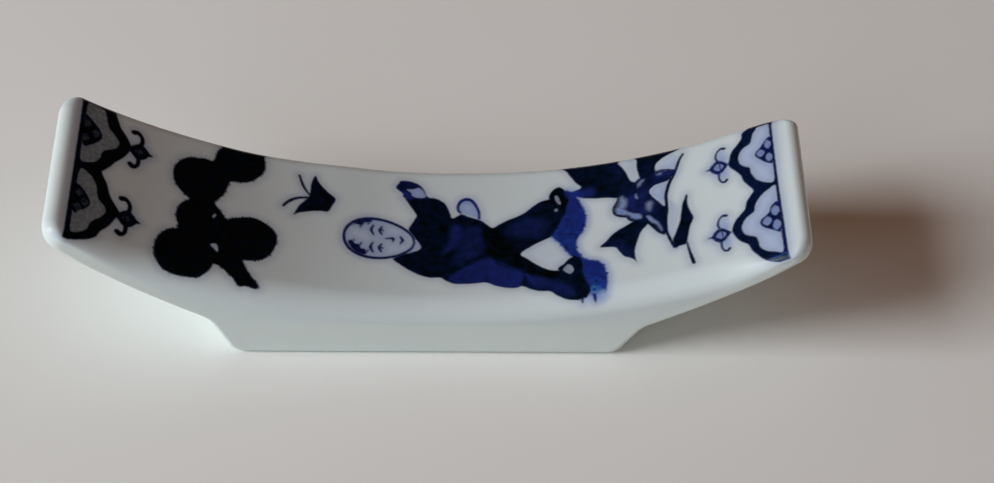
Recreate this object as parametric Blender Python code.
"""Porcelain knife rest: a hollowed saddle with upturned ends, luted with slip to a low foot ring.

X runs along the rest, Y across it and Z up. The origin is on the table, under the middle of the foot.
All sizes are in metres.
"""
import math

import bmesh
import bpy
from mathutils import Vector

# Overall size
LENGTH = 0.0900
WIDTH = 0.0243

# The hollow is one arc across the whole rest. Its lowest point lies to the right of the foot's
# middle, so the left end stands higher.
HOLLOW_RADIUS = 0.0880
HOLLOW_OFFSET = 0.0022
HOLLOW_HEIGHT = 0.0076

# The wings thin out towards round end rims
LEFT_RIM_THICKNESS = 0.0029
RIGHT_RIM_THICKNESS = 0.0022

# The foot: its length on the table, and its length and heights where its ends meet the wings
FOOT_LENGTH = 0.0461
SHOULDER_LENGTH = 0.0517
LEFT_SHOULDER_HEIGHT = 0.0054
RIGHT_SHOULDER_HEIGHT = 0.0045

# The wings swell downwards by this much between the shoulder and the rim
WING_BULGE = 0.0004

# The recess under the foot leaves a rim of this width to stand on
FOOT_RIM_WIDTH = 0.0030
RECESS_CORNER_RADIUS = 0.0020

# Rounding of the corners seen from the front, and of the front and back edges
FOOT_CORNER_RADIUS = 0.0025
SHOULDER_RADIUS = 0.0034
EDGE_RADIUS = 0.0009

# The slip seam lies at the lower shoulder, with a gap above and below it
SEAM_THICKNESS = 0.0005
SEAM_GAP = 0.0001

# Flat steps that stand for each round stretch
HOLLOW_STEPS = 40
RIM_STEPS = 12
WING_STEPS = 6
CORNER_STEPS = 4
EDGE_STEPS = 3

# An edge that runs round a rim keeps to this share of the rim's own radius
EDGE_SHARE_OF_RIM = 0.85


def clear_scene():
    for old in list(bpy.data.objects):
        bpy.data.objects.remove(old, do_unlink=True)


def material(name, colour, roughness):
    made = bpy.data.materials.new(name)
    made.use_nodes = True
    shader = made.node_tree.nodes["Principled BSDF"]
    shader.inputs["Base Color"].default_value = (*colour, 1.0)
    shader.inputs["Roughness"].default_value = roughness
    shader.inputs["Metallic"].default_value = 0.0
    return made


def arc(centre, radius, start, end, steps):
    """Points on an arc about a centre, from one angle to another."""
    points = []
    for step in range(steps + 1):
        angle = start + (end - start) * step / steps
        points.append(centre + radius * Vector((math.cos(angle), math.sin(angle))))
    return points


def fillet(before, corner, after, radius):
    """Points that round a corner between two straight lines."""
    towards = (before - corner).normalized()
    away = (after - corner).normalized()
    half_angle = towards.angle(away) / 2
    centre = corner + (towards + away).normalized() * radius / math.sin(half_angle)
    tangent = radius / math.tan(half_angle)
    first = corner + towards * tangent - centre
    last = corner + away * tangent - centre
    turn = first.angle(last)
    if first.cross(last) < 0:
        turn = -turn
    start = math.atan2(first.y, first.x)
    return arc(centre, radius, start, start + turn, CORNER_STEPS)


def bulge(start, end):
    """Points between the ends of a wing's underside, which swells out of the straight line."""
    outward = Vector((end.y - start.y, start.x - end.x)).normalized()
    points = []
    for step in range(1, WING_STEPS):
        share = step / WING_STEPS
        swell = 4 * WING_BULGE * share * (1 - share)
        points.append(start.lerp(end, share) + outward * swell)
    return points


def half_outline(side, rim_thickness, shoulder_height):
    """One half of the outline seen from the front, from the table up round the end rim.

    The half is drawn as a right half and turned over for the left. It also gives the angle at
    which the hollow's arc leaves the rim.
    """
    hollow_centre = Vector((side * HOLLOW_OFFSET, HOLLOW_HEIGHT + HOLLOW_RADIUS))
    rim_radius = rim_thickness / 2
    rim_x = LENGTH / 2 - rim_radius
    reach = HOLLOW_RADIUS + rim_radius
    rim_drop = math.sqrt(reach ** 2 - (rim_x - hollow_centre.x) ** 2)
    rim = Vector((rim_x, hollow_centre.y - rim_drop))

    foot = Vector((FOOT_LENGTH / 2, 0.0))
    shoulder = Vector((SHOULDER_LENGTH / 2, shoulder_height))
    to_rim = rim - shoulder
    wing_angle = math.atan2(to_rim.y, to_rim.x) - math.asin(rim_radius / to_rim.length)
    wing_end = rim + rim_radius * Vector((math.sin(wing_angle), -math.cos(wing_angle)))
    to_hollow = hollow_centre - rim
    hollow_angle = math.atan2(to_hollow.y, to_hollow.x)

    points = fillet(Vector((0.0, 0.0)), foot, shoulder, FOOT_CORNER_RADIUS)
    points += fillet(foot, shoulder, wing_end, SHOULDER_RADIUS)
    points += bulge(points[-1], wing_end)
    points += arc(rim, rim_radius, wing_angle - math.pi / 2, hollow_angle, RIM_STEPS)
    outline = [Vector((side * point.x, point.y)) for point in points]
    return outline, hollow_angle - math.pi


def outline():
    """The whole outline seen from the front, anticlockwise from the right end of the foot."""
    right, right_angle = half_outline(1, RIGHT_RIM_THICKNESS, RIGHT_SHOULDER_HEIGHT)
    left, left_angle = half_outline(-1, LEFT_RIM_THICKNESS, LEFT_SHOULDER_HEIGHT)
    centre = Vector((HOLLOW_OFFSET, HOLLOW_HEIGHT + HOLLOW_RADIUS))
    hollow = arc(centre, HOLLOW_RADIUS, right_angle, -math.pi - left_angle, HOLLOW_STEPS)
    return right + hollow[1:-1] + left[::-1]


def clay_body():
    """Saddle, seam and foot as one clay body, with its front and back edges rounded."""
    body = bmesh.new()
    front = -WIDTH / 2
    corners = [body.verts.new((point.x, front, point.y)) for point in outline()]
    face = body.faces.new(corners)
    extruded = bmesh.ops.extrude_face_region(body, geom=[face])
    moved = [item for item in extruded["geom"] if isinstance(item, bmesh.types.BMVert)]
    bmesh.ops.translate(body, verts=moved, vec=(0.0, WIDTH, 0.0))
    bmesh.ops.recalc_face_normals(body, faces=body.faces)

    thinnest_rim = min(LEFT_RIM_THICKNESS, RIGHT_RIM_THICKNESS) / 2
    edge_radius = min(EDGE_RADIUS, EDGE_SHARE_OF_RIM * thinnest_rim)
    flat_faces = [face for face in body.faces if len(face.verts) == len(corners)]
    edges = [edge for face in flat_faces for edge in face.edges]
    bmesh.ops.bevel(body, geom=edges, offset=edge_radius, offset_type="OFFSET", segments=EDGE_STEPS,
                    profile=0.5, affect="EDGES", material=-1, clamp_overlap=False)
    return body


def cut_level(body, height, keep_above):
    """Cuts a body at a level plane, keeps one side and closes the cut."""
    everything = body.verts[:] + body.edges[:] + body.faces[:]
    bmesh.ops.bisect_plane(body, geom=everything, plane_co=(0.0, 0.0, height), plane_no=(0.0, 0.0, 1.0),
                           clear_inner=keep_above, clear_outer=not keep_above)
    rim = [edge for edge in body.edges if edge.is_boundary]
    bmesh.ops.holes_fill(body, edges=rim, sides=0)


def add_piece(name, body, finish, parent):
    bmesh.ops.recalc_face_normals(body, faces=body.faces)
    mesh = bpy.data.meshes.new(name)
    body.to_mesh(mesh)
    body.free()
    mesh.shade_smooth()
    mesh.set_sharp_from_angle(angle=math.radians(35))
    mesh.materials.append(finish)
    piece = bpy.data.objects.new(name, mesh)
    piece.parent = parent
    bpy.context.collection.objects.link(piece)
    return piece


def add_recess(parent):
    """The hollow under the foot, as a cutter with round corners that passes right through the ring."""
    length = FOOT_LENGTH - 2 * FOOT_RIM_WIDTH
    width = WIDTH - 2 * FOOT_RIM_WIDTH
    height = 4 * max(LEFT_SHOULDER_HEIGHT, RIGHT_SHOULDER_HEIGHT)
    cutter = bmesh.new()
    bmesh.ops.create_cube(cutter, size=1.0)
    bmesh.ops.scale(cutter, verts=cutter.verts, vec=(length, width, height))
    upright = [edge for edge in cutter.edges if abs(edge.verts[0].co.z - edge.verts[1].co.z) > height / 2]
    bmesh.ops.bevel(cutter, geom=upright, offset=RECESS_CORNER_RADIUS, offset_type="OFFSET",
                    segments=CORNER_STEPS, profile=0.5, affect="EDGES", material=-1)
    mesh = bpy.data.meshes.new("recess_cutter")
    cutter.to_mesh(mesh)
    cutter.free()
    recess = bpy.data.objects.new("recess_cutter", mesh)
    recess.hide_render = True
    recess.display_type = "WIRE"
    recess.parent = parent
    bpy.context.collection.objects.link(recess)
    return recess


def cut_recess(piece, recess):
    cut = piece.modifiers.new("recess", "BOOLEAN")
    cut.operation = "DIFFERENCE"
    cut.solver = "EXACT"
    cut.object = recess


def main():
    clear_scene()
    rest = bpy.data.objects.new("knife_rest", None)
    bpy.context.collection.objects.link(rest)
    seam_middle = min(LEFT_SHOULDER_HEIGHT, RIGHT_SHOULDER_HEIGHT)
    seam_bottom = seam_middle - SEAM_THICKNESS / 2
    seam_top = seam_middle + SEAM_THICKNESS / 2

    saddle = clay_body()
    cut_level(saddle, seam_top + SEAM_GAP, keep_above=True)
    add_piece("saddle", saddle, material("glazed_porcelain", (0.62, 0.66, 0.65), 0.12), rest)

    seam = clay_body()
    cut_level(seam, seam_top, keep_above=False)
    cut_level(seam, seam_bottom, keep_above=True)
    slip_seam = add_piece("slip_seam", seam, material("fired_slip", (0.60, 0.62, 0.60), 0.25), rest)

    foot = clay_body()
    cut_level(foot, seam_bottom - SEAM_GAP, keep_above=False)
    foot_ring = add_piece("foot_ring", foot, material("glazed_foot", (0.58, 0.62, 0.61), 0.15), rest)

    recess = add_recess(rest)
    cut_recess(slip_seam, recess)
    cut_recess(foot_ring, recess)


main()
